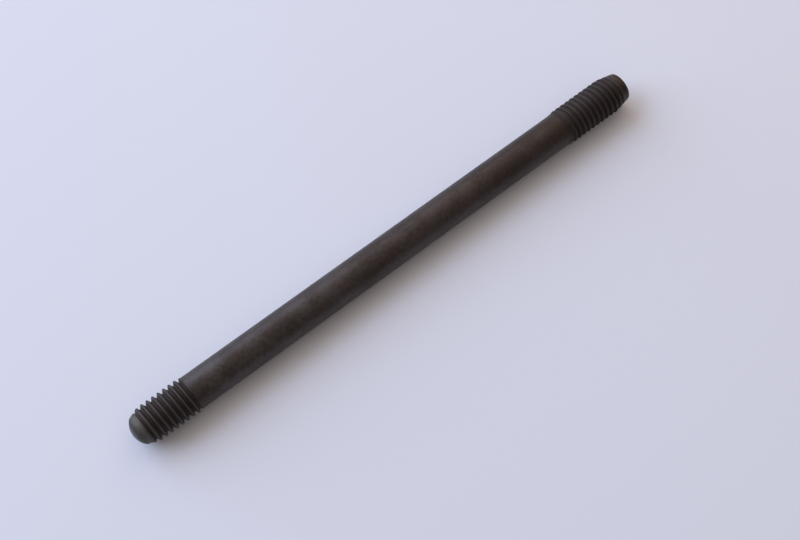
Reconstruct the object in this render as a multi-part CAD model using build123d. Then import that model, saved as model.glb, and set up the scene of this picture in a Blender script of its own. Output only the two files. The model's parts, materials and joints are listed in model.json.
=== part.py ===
from build123d import *
from math import ceil, radians, sqrt, tan
import os

# A cylinder stud: one steel rod with a coarse right-hand thread at each end and
# a plain shank between them. The short thread ends in a dome and takes the nut
# that clamps the cylinder. The long thread ends in a slow taper with a flat face
# and screws into the crankcase.
#
# Millimetres. The stud lies on its threads along X, with the nut end at -X, and
# its length is centred on the origin. The floor is Z = 0.

# The whole rod
overall_length = 123.2
shank_diameter = 7.3

# Both threads: coarse 8 mm, right-hand, with the metric 60 degree profile
thread_major_diameter = 7.83
thread_pitch = 1.25
flank_half_angle = 30.0

# Nut end: domed tip, lead-in cone, thread, and a steep run-out against the shank.
# Both distances are from the tip: where the thread stops being full, and where a
# crest first passes the top.
nut_full_thread = 12.95
nut_thread_start = 1.1
dome_radius = 4.2
dome_edge_diameter = 5.84
lead_cone_angle = 22.5
nut_crest_fall_angle = 30.0
nut_groove_rise_angle = 38.0

# Crankcase end: flat face with a broken edge, long taper, thread, and a long
# run-out, where first the crests sink and then the grooves rise to the shank.
# All three distances are from the face.
case_full_crests = 15.8
case_full_grooves = 14.6
case_thread_start = 0.75
end_face_diameter = 6.18
taper_length = 3.75
edge_break = 0.12
case_crest_fall_angle = 8.4
case_groove_rise_angle = 11.8

# Widths of the flats on the crests and in the grooves, as shares of the pitch. The
# crests stay under the nominal 8 mm, so they are blunter than the nominal eighth.
crest_flat = thread_pitch / 5
root_flat = thread_pitch / 10
bury = thread_pitch / 10

flank_width = (thread_pitch - crest_flat - root_flat) / 2
major_radius = thread_major_diameter / 2
root_radius = major_radius - flank_width / tan(radians(flank_half_angle))
shank_radius = shank_diameter / 2
clear_radius = major_radius + thread_pitch
buried_radius = min(root_radius, shank_radius) - bury
reach = 6 * thread_pitch

tip_x = -overall_length / 2
face_x = overall_length / 2
nut_full_x = tip_x + nut_full_thread
case_crest_x = face_x - case_full_crests
case_groove_x = face_x - case_full_grooves

# The stud's own axis, which lies one crest radius above the floor. Its local X
# is straight up, so that a helix starts at the top of the stud.
stud_axis = Plane(origin=(0, 0, major_radius), x_dir=(0, 0, 1), z_dir=(1, 0, 0))


def turned(outline):
    """The solid that a closed outline sweeps round the stud's axis. The outline's
    first coordinate runs along the stud and its second is the radius."""
    return Pos(0, 0, major_radius) * revolve(make_face(outline), Axis.X)


def run(from_radius, to_radius, angle):
    """The length along the stud in which a cone of this slope in degrees goes from
    one radius to the other."""
    return abs(to_radius - from_radius) / tan(radians(angle))


def off_nut_tip():
    """What turning takes off the nut end: all that lies outside its dome and
    lead-in cone."""
    edge_radius = dome_edge_diameter / 2
    between_radius = edge_radius / 2
    dome_centre_x = tip_x + dome_radius
    edge = (dome_centre_x - sqrt(dome_radius**2 - edge_radius**2), edge_radius)
    between_x = dome_centre_x - sqrt(dome_radius**2 - between_radius**2)
    cone_length = run(edge_radius, clear_radius, lead_cone_angle)
    dome = ThreePointArc((tip_x, 0), (between_x, between_radius), edge)
    outside = Polyline(
        edge,
        (edge[0] + cone_length, clear_radius),
        (tip_x - reach, clear_radius),
        (tip_x - reach, 0),
        (tip_x, 0),
    )
    return turned(dome + outside)


def off_case_tip():
    """What turning takes off the crankcase end: all that lies outside its taper
    and its flat face."""
    end_radius = end_face_diameter / 2
    slope = (major_radius - end_radius) / taper_length
    rise = (clear_radius - end_radius) / slope
    outline = Polyline(
        (face_x - rise, clear_radius),
        (face_x - edge_break, end_radius + slope * edge_break),
        (face_x, end_radius - edge_break),
        (face_x, 0),
        (face_x + reach, 0),
        (face_x + reach, clear_radius),
        close=True,
    )
    return turned(outline)


def off_crests(full_x, angle, inward):
    """What the run-out takes off the crests: all that lies outside a cone that
    sinks from the crests at full_x until it is buried in the shank. Inward is +1
    or -1, the way from the thread to the shank."""
    clear_x = full_x - inward * run(major_radius, clear_radius, angle)
    buried_x = full_x + inward * run(major_radius, buried_radius, angle)
    outline = Polyline(
        (clear_x, clear_radius),
        (buried_x, buried_radius),
        (buried_x + inward * reach, buried_radius),
        (buried_x + inward * reach, clear_radius),
        close=True,
    )
    return turned(outline)


def threaded_rod(crest_x, from_x, to_x):
    """A rod with a right-hand helical ridge from from_x to to_x, made one turn at
    a time. One of its crests passes the top of the stud at crest_x."""
    widen = tan(radians(flank_half_angle))
    base = root_radius - bury
    half_top = crest_flat / 2
    half_base = half_top + (major_radius - base) * widen
    section = make_face(
        Polyline(
            (base, 0, -half_base),
            (major_radius, 0, -half_top),
            (major_radius, 0, half_top),
            (base, 0, half_base),
            close=True,
        )
    )
    helix = Helix(thread_pitch, thread_pitch, root_radius)
    turn = sweep(section, path=helix, is_frenet=True)
    start_x = crest_x - ceil((crest_x - from_x) / thread_pitch) * thread_pitch
    count = ceil((to_x - start_x) / thread_pitch)
    length = (count + 3) * thread_pitch
    rod = Cylinder(root_radius, length, align=(Align.CENTER, Align.CENTER, Align.MIN))
    turns = [Pos(0, 0, number * thread_pitch) * turn for number in range(count)]
    threaded = Pos(0, 0, -1.5 * thread_pitch) * rod + turns
    return Pos(start_x, 0, 0) * stud_axis.location * threaded


def nut_end():
    buried_x = nut_full_x + run(major_radius, buried_radius, nut_crest_fall_angle)
    rod = threaded_rod(tip_x + nut_thread_start, tip_x, buried_x + thread_pitch)
    return rod - off_nut_tip() - off_crests(nut_full_x, nut_crest_fall_angle, 1)


def case_end():
    buried_x = case_crest_x - run(major_radius, buried_radius, case_crest_fall_angle)
    rod = threaded_rod(face_x - case_thread_start, buried_x - thread_pitch, face_x)
    return rod - off_case_tip() - off_crests(case_crest_x, case_crest_fall_angle, -1)


def shank():
    """The plain middle, with the cones on which the grooves run out. Each cone
    goes on a little way inside its thread's rod."""
    nut_rise = run(root_radius, shank_radius, nut_groove_rise_angle)
    nut_sink = run(root_radius, buried_radius, nut_groove_rise_angle)
    case_rise = run(root_radius, shank_radius, case_groove_rise_angle)
    case_sink = run(root_radius, buried_radius, case_groove_rise_angle)
    outline = Polyline(
        (nut_full_x - nut_sink, 0),
        (nut_full_x - nut_sink, buried_radius),
        (nut_full_x + nut_rise, shank_radius),
        (case_groove_x - case_rise, shank_radius),
        (case_groove_x + case_sink, buried_radius),
        (case_groove_x + case_sink, 0),
        close=True,
    )
    return turned(outline)


if __name__ == "__main__":
    os.makedirs("parts", exist_ok=True)
    stud = nut_end() + shank() + case_end()
    stud.label = "stud"
    export_step(stud, "parts/stud.step")
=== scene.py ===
import json
import math

import bpy
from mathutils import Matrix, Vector


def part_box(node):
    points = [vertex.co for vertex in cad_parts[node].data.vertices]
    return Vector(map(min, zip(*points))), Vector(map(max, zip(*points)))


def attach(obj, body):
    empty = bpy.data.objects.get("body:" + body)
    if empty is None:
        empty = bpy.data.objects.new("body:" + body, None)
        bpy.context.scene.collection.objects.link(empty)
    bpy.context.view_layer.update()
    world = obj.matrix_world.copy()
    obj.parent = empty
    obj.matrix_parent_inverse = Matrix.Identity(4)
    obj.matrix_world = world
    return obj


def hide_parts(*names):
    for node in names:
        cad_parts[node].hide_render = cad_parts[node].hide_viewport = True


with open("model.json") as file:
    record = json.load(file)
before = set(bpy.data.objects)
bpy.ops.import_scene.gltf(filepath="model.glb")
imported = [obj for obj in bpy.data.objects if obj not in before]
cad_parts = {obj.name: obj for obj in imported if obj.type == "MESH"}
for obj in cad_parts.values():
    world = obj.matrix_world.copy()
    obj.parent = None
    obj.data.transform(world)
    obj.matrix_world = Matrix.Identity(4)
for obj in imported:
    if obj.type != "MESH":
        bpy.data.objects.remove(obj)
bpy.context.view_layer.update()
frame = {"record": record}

# ---------------------------------------------------------------------------
# Stud: one steel rod with a coarse right-hand thread rolled on each end. The nut
# end has a turned dome and the crankcase end a slow taper and a flat face. Each
# thread runs out against the plain shank between them.
# ---------------------------------------------------------------------------

mm = 0.001
low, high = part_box("stud")
mount_sizes = {mount["name"]: mount["dims"] for mount in frame["record"]["mounts"]}

# The solid is slightly too long, so both ends sit a little inside it
tip_set_back = 0.12 * mm
face_set_back = 0.2 * mm
tip_x = low.x + tip_set_back
face_x = high.x - face_set_back
axis_z = (low.z + high.z) / 2
crest_radius = (high.z - low.z) / 2
shank_radius = mount_sizes["shank"]["r_mm"] * mm

# Metric thread. The flats on its crests and in its grooves are shares of the pitch.
pitch = 1.25 * mm
crest_flat = 0.2
root_flat = 0.1
flank_half_angle = math.radians(30)
thread_depth = (1 - crest_flat - root_flat) / 2 / math.tan(flank_half_angle) * pitch
root_radius = crest_radius - thread_depth

# How finely the surface is divided
segments = 120
columns_per_pitch = 16
shank_columns = 62
dome_columns = 40
face_columns = 54
weld_distance = 0.001 * mm


def add(tree, kind, *inputs, **settings):
    """Adds a node with its settings. The inputs go in turn to the sockets that are
    in use under these settings. Each is a value, a socket, a node, which stands for
    its first output in use, or None, which leaves the socket as it is."""
    node = tree.nodes.new(kind)
    for name, value in settings.items():
        setattr(node, name, value)
    in_use = [socket for socket in node.inputs if socket.enabled]
    for socket, value in zip(in_use, inputs):
        if isinstance(value, bpy.types.Node):
            value = next(output for output in value.outputs if output.enabled)
        if isinstance(value, bpy.types.NodeSocket):
            tree.links.new(value, socket)
        elif value is not None:
            socket.default_value = value
    return node


MATH = "ShaderNodeMath"
RANGE = "ShaderNodeMapRange"
tree = bpy.data.node_groups.new("threaded_stud", "GeometryNodeTree")
tree.interface.new_socket("Geometry", in_out="OUTPUT", socket_type="NodeSocketGeometry")
named_sizes = {
    "Tip X": tip_x,
    "Face X": face_x,
    "Axis height": axis_z,
    "Crest radius": crest_radius,
    "Root radius": root_radius,
    "Shank radius": shank_radius,
    "Pitch": pitch,
}
for name, value in named_sizes.items():
    socket = tree.interface.new_socket(name, in_out="INPUT", socket_type="NodeSocketFloat")
    socket.default_value = value
size = add(tree, "NodeGroupInput").outputs


def grid_round_axis(width, columns, shape):
    """A grid of the stated width, wrapped round the stud's axis. Its rows run from
    the top of the stud over the -Y side, as a right-hand thread climbs towards +X.
    The shape takes the place across the grid and the turn, and gives x and radius."""
    grid = add(tree, "GeometryNodeMeshGrid", width, 1.0, columns, segments + 1)
    place = add(tree, "ShaderNodeSeparateXYZ", add(tree, "GeometryNodeInputPosition"))
    across = add(tree, MATH, place.outputs["X"], width / 2, operation="ADD")
    turn = add(tree, MATH, place.outputs["Y"], 0.5, operation="ADD")
    x, radius = shape(across, turn)
    angle = add(tree, MATH, turn, math.tau, operation="MULTIPLY")
    sine = add(tree, MATH, angle, operation="SINE")
    sideways = add(tree, MATH, sine, radius, operation="MULTIPLY")
    y = add(tree, MATH, sideways, -1.0, operation="MULTIPLY")
    cosine = add(tree, MATH, angle, operation="COSINE")
    z = add(tree, MATH, cosine, radius, size["Axis height"], operation="MULTIPLY_ADD")
    position = add(tree, "ShaderNodeCombineXYZ", x, y, z)
    return add(tree, "GeometryNodeSetPosition", grid, None, position)


def threaded_end(inward, starts, stops, thread_start, lead, crests, grooves):
    """The threaded wall of one end. All depths are from that end. Its grid is
    sheared by one pitch in a turn, so that its columns follow the helix. Lead is
    the depth and radius where the lead-in cone starts and its slope. Crests and
    grooves are the depth where each stops being full and the slope that follows."""
    end_x = tip_x if inward > 0 else face_x
    first_x, last_x = sorted((end_x + inward * starts, end_x + inward * stops))
    crest_x = end_x + inward * thread_start
    base_x = crest_x + (math.floor((first_x - crest_x) / pitch) - 1) * pitch
    turns = math.ceil((last_x - first_x) / pitch) + 2
    lead_depth, lead_radius, lead_slope = lead
    crest_depth, crest_slope = crests
    groove_depth, groove_slope = grooves
    lead_end = lead_depth + (crest_radius - lead_radius) / lead_slope
    rise_end = groove_depth + thread_depth / groove_slope
    fall_end = crest_depth + (crest_radius - shank_radius) / crest_slope
    crest = size["Crest radius"]
    root = size["Root radius"]

    def shape(across, turn):
        flat_x = add(tree, MATH, across, base_x, operation="ADD")
        helix_x = add(tree, MATH, turn, size["Pitch"], flat_x, operation="MULTIPLY_ADD")
        x = add(tree, "ShaderNodeClamp", helix_x, first_x, last_x)
        from_crest = add(tree, MATH, flat_x, crest_x, operation="SUBTRACT")
        in_turns = add(tree, MATH, from_crest, size["Pitch"], operation="DIVIDE")
        off_crest = add(tree, MATH, in_turns, 0.5, operation="PINGPONG")
        thread = add(tree, RANGE, off_crest, crest_flat / 2, 0.5 - root_flat / 2, crest, root)
        end = size["Tip X" if inward > 0 else "Face X"]
        from_end = add(tree, MATH, x, end, operation="SUBTRACT")
        depth = add(tree, MATH, from_end, operation="ABSOLUTE")
        cone = add(tree, RANGE, depth, lead_depth, lead_end, lead_radius, crest)
        rise = add(tree, RANGE, depth, groove_depth, rise_end, root, crest)
        fall = add(tree, RANGE, depth, crest_depth, fall_end, crest, size["Shank radius"])
        filled = add(tree, MATH, thread, rise, operation="MAXIMUM")
        run_out = add(tree, MATH, filled, fall, operation="MINIMUM")
        return x, add(tree, MATH, run_out, cone, operation="MINIMUM")

    wall = grid_round_axis(turns * pitch, turns * columns_per_pitch + 1, shape)
    return add(tree, "GeometryNodeFlipFaces", wall)


# Nut end: dome and lead-in cone, as far as the cone reaches the thread's root
dome_radius = 4.2 * mm
dome_edge_radius = 2.92 * mm
dome_edge_rounding = 0.2 * mm
lead_slope = math.tan(math.radians(22.5))
dome_edge_depth = dome_radius - math.sqrt(dome_radius**2 - dome_edge_radius**2)
nut_root_depth = dome_edge_depth + (root_radius - dome_edge_radius) / lead_slope
nut_thread_start = 0.98 * mm
nut_full_thread = 12.83 * mm
nut_fall = math.tan(math.radians(30))
nut_rise = math.tan(math.radians(38))
nut_thread_stops = nut_full_thread + (shank_radius - root_radius) / nut_rise


def dome_shape(across, turn):
    squared = add(tree, MATH, across, 2.0, operation="POWER")
    chord = add(tree, MATH, dome_radius**2, squared, operation="SUBTRACT")
    drop = add(tree, MATH, chord, operation="SQRT")
    dome = add(tree, MATH, dome_radius, drop, operation="SUBTRACT")
    beyond = add(tree, MATH, across, dome_edge_radius, operation="SUBTRACT")
    cone = add(tree, MATH, beyond, 1 / lead_slope, dome_edge_depth, operation="MULTIPLY_ADD")
    depth = add(tree, MATH, dome, cone, dome_edge_rounding, operation="SMOOTH_MAX")
    return add(tree, MATH, depth, size["Tip X"], operation="ADD"), across


dome_wall = grid_round_axis(root_radius, dome_columns, dome_shape)
dome = add(tree, "GeometryNodeFlipFaces", dome_wall)
nut_thread = threaded_end(
    inward=1,
    starts=nut_root_depth,
    stops=nut_thread_stops,
    thread_start=nut_thread_start,
    lead=(dome_edge_depth, dome_edge_radius, lead_slope),
    crests=(nut_full_thread, nut_fall),
    grooves=(nut_full_thread, nut_rise),
)

# Crankcase end: flat face with a broken edge and a slow taper, as far as the taper
# reaches the thread's root
end_radius = 3.09 * mm
edge_break = 0.12 * mm
taper_length = 3.75 * mm
taper_slope = (crest_radius - end_radius) / taper_length
break_slope = (edge_break + taper_slope * edge_break) / edge_break
case_root_depth = (root_radius - end_radius) / taper_slope
case_thread_start = 0.55 * mm
case_full_grooves = 14.4 * mm
case_full_crests = 15.6 * mm
case_fall = math.tan(math.radians(8.4))
case_rise = math.tan(math.radians(11.8))
case_thread_stops = case_full_crests + (crest_radius - shank_radius) / case_fall


def face_shape(across, turn):
    past_flat = add(tree, MATH, across, end_radius - edge_break, operation="SUBTRACT")
    broken = add(tree, MATH, past_flat, 1 / break_slope, operation="MULTIPLY")
    past_edge = add(tree, MATH, across, end_radius, operation="SUBTRACT")
    taper = add(tree, MATH, past_edge, 1 / taper_slope, operation="MULTIPLY")
    steepest = add(tree, MATH, broken, taper, operation="MAXIMUM")
    depth = add(tree, MATH, steepest, 0.0, operation="MAXIMUM")
    return add(tree, MATH, size["Face X"], depth, operation="SUBTRACT"), across


face = grid_round_axis(root_radius, face_columns, face_shape)
case_thread = threaded_end(
    inward=-1,
    starts=case_root_depth,
    stops=case_thread_stops,
    thread_start=case_thread_start,
    lead=(0.0, end_radius, taper_slope),
    crests=(case_full_crests, case_fall),
    grooves=(case_full_grooves, case_rise),
)

# Shank: plain drawn bar between the two run-outs
shank_start_x = tip_x + nut_thread_stops
shank_length = face_x - case_thread_stops - shank_start_x


def shank_shape(across, turn):
    x = add(tree, MATH, across, shank_start_x, operation="ADD")
    return x, size["Shank radius"]


shank_wall = grid_round_axis(shank_length, shank_columns, shank_shape)
shank = add(tree, "GeometryNodeFlipFaces", shank_wall)

walls = add(tree, "GeometryNodeJoinGeometry")
for wall in (face, case_thread, shank, nut_thread, dome):
    tree.links.new(wall.outputs[0], walls.inputs[0])
welded = add(tree, "GeometryNodeMergeByDistance", walls, None, weld_distance)
smooth = add(tree, "GeometryNodeSetShadeSmooth", welded)
real = add(tree, "GeometryNodeRealizeInstances", smooth)
steel = bpy.data.materials.new("black_oxide_steel")
coated = add(tree, "GeometryNodeSetMaterial", real, None, steel)
add(tree, "NodeGroupOutput", coated)

stud = bpy.data.objects.new("threaded_stud", bpy.data.meshes.new("threaded_stud"))
bpy.context.scene.collection.objects.link(stud)
turning = stud.modifiers.new("turning", "NODES")
turning.node_group = tree
for socket in tree.interface.items_tree:
    if socket.in_out == "INPUT":
        turning[socket.identifier] = named_sizes[socket.name]
bpy.context.view_layer.update()
finished = stud.evaluated_get(bpy.context.evaluated_depsgraph_get())
stud.data = bpy.data.meshes.new_from_object(finished)
stud.modifiers.clear()
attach(stud, "root")
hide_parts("stud")

# Black oxide steel: a hot-dipped black finish over rolled and turned steel. It is
# a satin brown-black, faintly patchy, and rubbed greyer on the thread crests and
# the dome. The threads are duller, with brownish dust in their grooves. Light and
# shade are also painted into its colour: painted shade towards the crankcase end,
# painted light on the dome's tip and cone, and a painted glint on one nick.


def linear(hex_colour):
    """An sRGB hex colour as linear red, green, blue and alpha."""
    values = [int(hex_colour[i : i + 2], 16) / 255 for i in (1, 3, 5)]
    channels = [v / 12.92 if v <= 0.04045 else ((v + 0.055) / 1.055) ** 2.4 for v in values]
    return (*channels, 1.0)


MIX = "ShaderNodeMix"
NOISE = "ShaderNodeTexNoise"
VECTOR = "ShaderNodeVectorMath"
steel.use_nodes = True
nodes = steel.node_tree
nodes.nodes.clear()
coordinates = add(nodes, "ShaderNodeTexCoord").outputs["Object"]
on_axis = add(nodes, "ShaderNodeMapping", coordinates, (0, 0, -axis_z))
along = add(nodes, "ShaderNodeSeparateXYZ", on_axis).outputs["X"]
off_axis = add(nodes, VECTOR, on_axis, (0, 1, 1), operation="MULTIPLY")
radius = add(nodes, VECTOR, off_axis, operation="LENGTH")

# The finish is darker and browner towards the crankcase end. This is painted shade,
# because less of the window's light reaches that end. Faint patches of about 6 mm lie
# all over it. Its grain is drawn at about 0.7 mm, coarser than the real one, to show.
patches_per_metre = 170.0
grains_per_metre = 1500.0
noise_detail = 4.0
grain_detail = 2.0
noise_roughness = 0.6
patches = add(nodes, NOISE, on_axis, patches_per_metre, noise_detail, noise_roughness)
grain = add(nodes, NOISE, on_axis, grains_per_metre, grain_detail, noise_roughness)
grain_share = 0.7
darkest_patch = 0.72
lightest_patch = 0.98
grainy = add(nodes, MATH, grain, grain_share, patches, operation="MULTIPLY_ADD")
patchy = add(nodes, RANGE, grainy, darkest_patch, lightest_patch)
# Painted shade: the colours grow darker and browner towards the crankcase end
towards_case = add(nodes, RANGE, along, tip_x, face_x)
nut_finish = add(nodes, MIX, patchy, linear("#362e2a"), linear("#494444"), data_type="RGBA")
case_finish_in_painted_shade = add(nodes, MIX, patchy, linear("#2d211b"), linear("#3b302c"), data_type="RGBA")
finish_and_end_shade = add(nodes, MIX, towards_case, nut_finish, case_finish_in_painted_shade, data_type="RGBA")

# Wear: the crests are rubbed greyer, less so on the crankcase thread
worn_depth = 0.16 * mm
nut_wear = 1.0
case_wear = 0.4
nut_full_x = tip_x + nut_full_thread
wear_fade = 2 * mm
crest = add(
    nodes, RANGE, radius, crest_radius - worn_depth, crest_radius,
    interpolation_type="SMOOTHSTEP",
)
by_end = add(nodes, RANGE, along, nut_full_x, nut_full_x + wear_fade, nut_wear, case_wear)
crest_wear = add(nodes, MATH, crest, by_end, operation="MULTIPLY")
worn = add(nodes, MIX, crest_wear, finish_and_end_shade, linear("#4a4645"), data_type="RGBA")

# The dome and its cone are bare of dust and rubbed greyer. Their lighter tones on
# top of that are painted light: the tip, lightest, holds a painted reflection, and
# the cone a painted highlight.
first_groove_x = tip_x + 2.1 * mm
dome_middle_x = tip_x + 0.75 * mm
cone_middle_x = tip_x + 1.65 * mm
on_dome = add(nodes, RANGE, along, first_groove_x, first_groove_x + 0.5 * mm, 1.0, 0.0)
to_tip = add(nodes, RANGE, along, tip_x, dome_middle_x, 1.0, 0.0)
to_cone = add(nodes, RANGE, along, dome_middle_x, cone_middle_x)
dome_and_lit_cone = add(nodes, MIX, to_cone, linear("#43423c"), linear("#5e5c56"), data_type="RGBA")
dome_painted_light = add(nodes, MIX, to_tip, dome_and_lit_cone, linear("#7d7b74"), data_type="RGBA")
wear_and_painted_light = add(nodes, MIX, on_dome, worn, dome_painted_light, data_type="RGBA")

# Brownish dust lies in the grooves of both threads, and thins out before each end
# of them
dust_full_radius = root_radius + 0.15 * mm
dust_gone_radius = crest_radius - 0.2 * mm
nut_dust_fade = 0.6 * mm
dusty_from_face = 4 * mm
bare_at_face = 1 * mm
shallow = add(
    nodes, RANGE, radius, dust_full_radius, dust_gone_radius, 1.0, 0.0,
    interpolation_type="SMOOTHSTEP",
)
past_dome = add(nodes, MATH, 1.0, on_dome, operation="SUBTRACT")
before_shank = add(nodes, RANGE, along, nut_full_x, nut_full_x + nut_dust_fade, 1.0, 0.0)
nut_share = add(nodes, MATH, past_dome, before_shank, operation="MULTIPLY")
past_shank = add(nodes, RANGE, along, face_x - case_thread_stops, face_x - case_full_crests)
before_face = add(
    nodes, RANGE, along, face_x - dusty_from_face, face_x - bare_at_face, 1.0, 0.0
)
case_share = add(nodes, MATH, past_shank, before_face, operation="MULTIPLY")
threads = add(nodes, MATH, nut_share, case_share, operation="ADD")
dust = add(nodes, MATH, shallow, threads, operation="MULTIPLY")
dusty = add(nodes, MIX, dust, wear_and_painted_light, linear("#4a403a"), data_type="RGBA")

# One nick on a crest near the crankcase end's edge. Its bright spot is a painted
# glint, where the nick catches the light.
nick_angle = math.radians(71)
nick_radius = 3.85 * mm
nick_x = face_x - 4.05 * mm
glint_core = 0.1 * mm
glint_edge = 0.32 * mm
nick_glint_strength = 0.8
nick_place = (nick_x, -nick_radius * math.sin(nick_angle), nick_radius * math.cos(nick_angle))
from_nick = add(nodes, VECTOR, on_axis, nick_place, operation="DISTANCE")
nick_glint = add(nodes, RANGE, from_nick, glint_core, glint_edge, nick_glint_strength, 0.0)
base = add(nodes, MIX, nick_glint, dusty, linear("#7c7873"), data_type="RGBA")

# A thin film of oil gives the shank its sheen. The dome and the threads are duller.
shank_roughness = 0.5
dulled_roughness = 0.62
grain_roughness = 0.2
shank_oil = 0.45
dulled_oil = 0.2
bump_strength = 0.35
grain_height = 0.01 * mm
dulled = add(nodes, MATH, on_dome, threads, operation="MAXIMUM")
rough = add(nodes, RANGE, dulled, 0.0, 1.0, shank_roughness, dulled_roughness)
rougher = add(nodes, MATH, grain, grain_roughness, rough, operation="MULTIPLY_ADD")
oil = add(nodes, RANGE, dulled, 0.0, 1.0, shank_oil, dulled_oil)
bump = add(nodes, "ShaderNodeBump", bump_strength, grain_height, None, grain)
shader = add(nodes, "ShaderNodeBsdfPrincipled", base)
shader.inputs["Metallic"].default_value = 0.75
shader.inputs["Coat Roughness"].default_value = 0.4
nodes.links.new(rougher.outputs[0], shader.inputs["Roughness"])
nodes.links.new(oil.outputs[0], shader.inputs["Coat Weight"])
nodes.links.new(bump.outputs[0], shader.inputs["Normal"])
add(nodes, "ShaderNodeOutputMaterial", shader)

# ---------------------------------------------------------------------------
# Floor: a sheet of matte white paper, which takes a cool tint from the daylight.
# ---------------------------------------------------------------------------

half_side = 1.5
corners = [(x, y, 0) for x in (-half_side, half_side) for y in (-half_side, half_side)]
floor_mesh = bpy.data.meshes.new("floor")
floor_mesh.from_pydata(corners, [], [(0, 2, 3, 1)])
floor = bpy.data.objects.new("floor", floor_mesh)
bpy.context.scene.collection.objects.link(floor)
paper = bpy.data.materials.new("matte_paper")
paper.use_nodes = True
paper_shader = paper.node_tree.nodes["Principled BSDF"]
paper_shader.inputs["Base Color"].default_value = linear("#e0e6f2")
paper_shader.inputs["Roughness"].default_value = 0.9
floor_mesh.materials.append(paper)

# ---------------------------------------------------------------------------
# Light: a large cool window on the far side of the stud, towards its nut end, a
# weaker warm lamp towards its crankcase end, and a dim warm room round them.
# ---------------------------------------------------------------------------

# The room is brightest overhead and on the far side
brightest = (0.0, 0.55, 0.83)
dim_strength = 0.15
bright_strength = 0.64
room = bpy.data.worlds.new("room")
bpy.context.scene.world = room
room.use_nodes = True
sky = room.node_tree.nodes["Background"]
outwards = add(room.node_tree, "ShaderNodeTexCoord").outputs["Generated"]
height = add(room.node_tree, VECTOR, outwards, brightest, operation="DOT_PRODUCT")
strength = add(room.node_tree, RANGE, height, -0.5, 1.0, dim_strength, bright_strength)
room.node_tree.links.new(strength.outputs[0], sky.inputs["Strength"])
sky.inputs["Color"].default_value = linear("#f0dfd4")

middle = Vector((0.0, 0.0, axis_z))


def towards(azimuth, elevation):
    """The direction from the stud at these degrees. Azimuth 0 is -Y, and it turns
    towards +X."""
    a = math.radians(azimuth)
    e = math.radians(elevation)
    return Vector((math.sin(a) * math.cos(e), -math.cos(a) * math.cos(e), math.sin(e)))


def panel(name, direction, distance, width, height, watts, colour):
    """A rectangular area light that faces the stud from this direction."""
    light = bpy.data.lights.new(name, "AREA")
    light.shape = "RECTANGLE"
    light.size = width
    light.size_y = height
    light.energy = watts
    light.color = linear(colour)[:3]
    holder = bpy.data.objects.new(name, light)
    holder.location = middle + direction * distance
    holder.rotation_euler = direction.to_track_quat("Z", "Y").to_euler()
    bpy.context.scene.collection.objects.link(holder)


panel(
    "window", towards(212, 31), distance=1.0, width=1.3, height=1.0, watts=13.6,
    colour="#d0e1ff",
)
panel(
    "lamp", towards(127, 40), distance=0.4, width=0.45, height=0.45, watts=0.38,
    colour="#ffe0c4",
)

# ---------------------------------------------------------------------------
# Camera: above the nut end and looking down along the stud.
# ---------------------------------------------------------------------------

camera_data = bpy.data.cameras.new("camera")
camera_data.sensor_width = 36
camera_data.lens = 57.87
camera_data.clip_start = 0.01
camera_distance = 255.4 * mm
aim = Vector((-1.0 * mm, -4.475 * mm, axis_z))
view_direction = towards(-38.1, 67.3)
camera = bpy.data.objects.new("camera", camera_data)
camera.location = aim + view_direction * camera_distance
camera.rotation_euler = view_direction.to_track_quat("Z", "Y").to_euler()
bpy.context.scene.collection.objects.link(camera)
bpy.context.scene.camera = camera
bpy.context.scene.view_settings.view_transform = "Standard"
